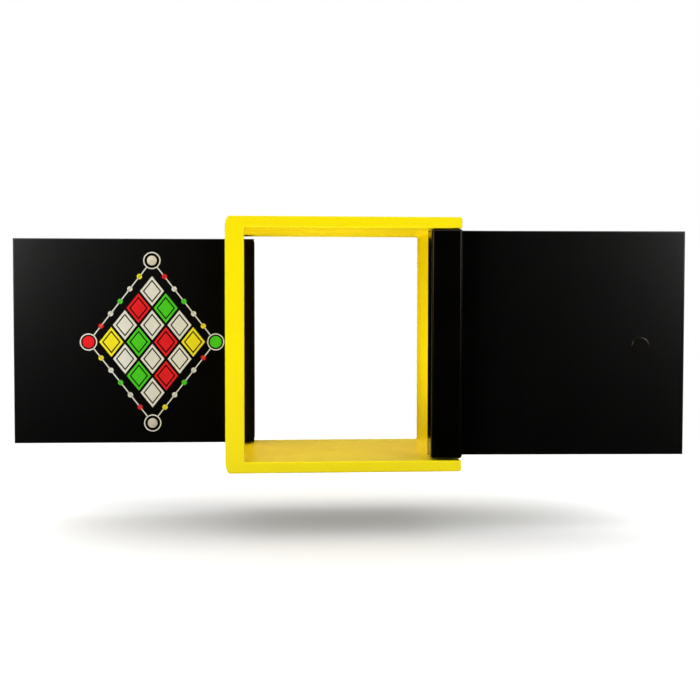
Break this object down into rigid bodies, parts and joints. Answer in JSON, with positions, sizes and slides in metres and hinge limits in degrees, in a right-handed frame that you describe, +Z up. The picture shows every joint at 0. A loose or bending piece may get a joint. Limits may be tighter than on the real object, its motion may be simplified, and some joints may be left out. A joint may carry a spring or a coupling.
{
  "type": "two-door magic box",
  "caption": "See-through wooden prop box: an open yellow frame with a black swing door at front and back, each glued to a square pivot bar.",
  "frame": {"origin": "middle of the base, under the frame's centre line, on the surface it stands on", "axes": "+Z up; -Y towards the front, which the picture is taken from; +X to the right, along the open front door"},
  "size_m": [0.5644, 0.1596, 0.204],
  "materials": {
    "yellow_enamel": "glossy lemon yellow enamel over sealed fibreboard",
    "black_lacquer": "satin black lacquer over board",
    "bare_wood": "plain beech strip",
    "steel": "ground steel",
    "black_nylon": "matt black nylon",
    "black_magnet": "disc magnet lacquered black with the door",
    "nickel": "warm bright nickel plate"
  },
  "bodies": {
    "frame": {"bottom_board": "yellow_enamel", "top_board": "yellow_enamel", "left_wall": "yellow_enamel", "left_wall_tongues": "bare_wood", "left_wall_keeper": "steel", "left_wall_plug": "yellow_enamel", "right_wall": "yellow_enamel", "right_wall_tongues": "bare_wood", "right_wall_keeper": "steel", "right_wall_plug": "yellow_enamel", "front_washer": "black_nylon", "back_washer": "black_nylon"},
    "front_door": {"front_pivot_bar": "black_lacquer", "front_door_panel": "black_lacquer", "front_lower_pin": "steel", "front_upper_pin": "steel", "front_catch_disc": "black_magnet"},
    "back_door": {"back_pivot_bar": "black_lacquer", "back_door_panel": "black_lacquer", "back_lower_pin": "steel", "back_upper_pin": "steel", "back_catch_disc": "black_magnet", "upper_rivet": "nickel", "upper_rivet_washer": "nickel", "lower_rivet": "nickel", "lower_rivet_washer": "nickel"}
  },
  "joints": [
    {"name": "front_door_swing", "type": "hinge", "parent": "frame", "child": "front_door", "pos_m": [0.0829, -0.0668, 0.102], "axis": [0, 0, 1], "range_deg": [-177, 18]},
    {"name": "back_door_swing", "type": "hinge", "parent": "frame", "child": "back_door", "pos_m": [-0.0829, 0.0668, 0.102], "axis": [0, 0, 1], "range_deg": [-178.5, 16.5]}
  ]
}
